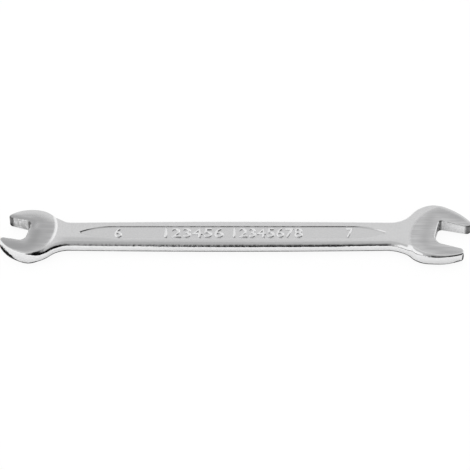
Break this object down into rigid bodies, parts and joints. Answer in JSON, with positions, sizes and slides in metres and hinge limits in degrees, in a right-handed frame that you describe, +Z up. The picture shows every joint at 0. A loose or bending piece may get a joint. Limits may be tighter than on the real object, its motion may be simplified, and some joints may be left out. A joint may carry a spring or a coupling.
{
  "type": "open end wrench",
  "caption": "Slim forged wrench with an angled open jaw at each end, a waisted shank and a recessed panel along both faces.",
  "frame": {"origin": "middle of the wrench in plan, on the surface that it lies on", "axes": "+X along the shank from the small head to the large head, +Y across it, +Z up through its thickness"},
  "size_m": [0.1154, 0.0168, 0.0041],
  "materials": {
    "chrome_steel": "satin chrome plate, with finely ground head faces and bright edges"
  },
  "bodies": {
    "root": {"wrench_body": "chrome_steel"}
  },
  "joints": []
}
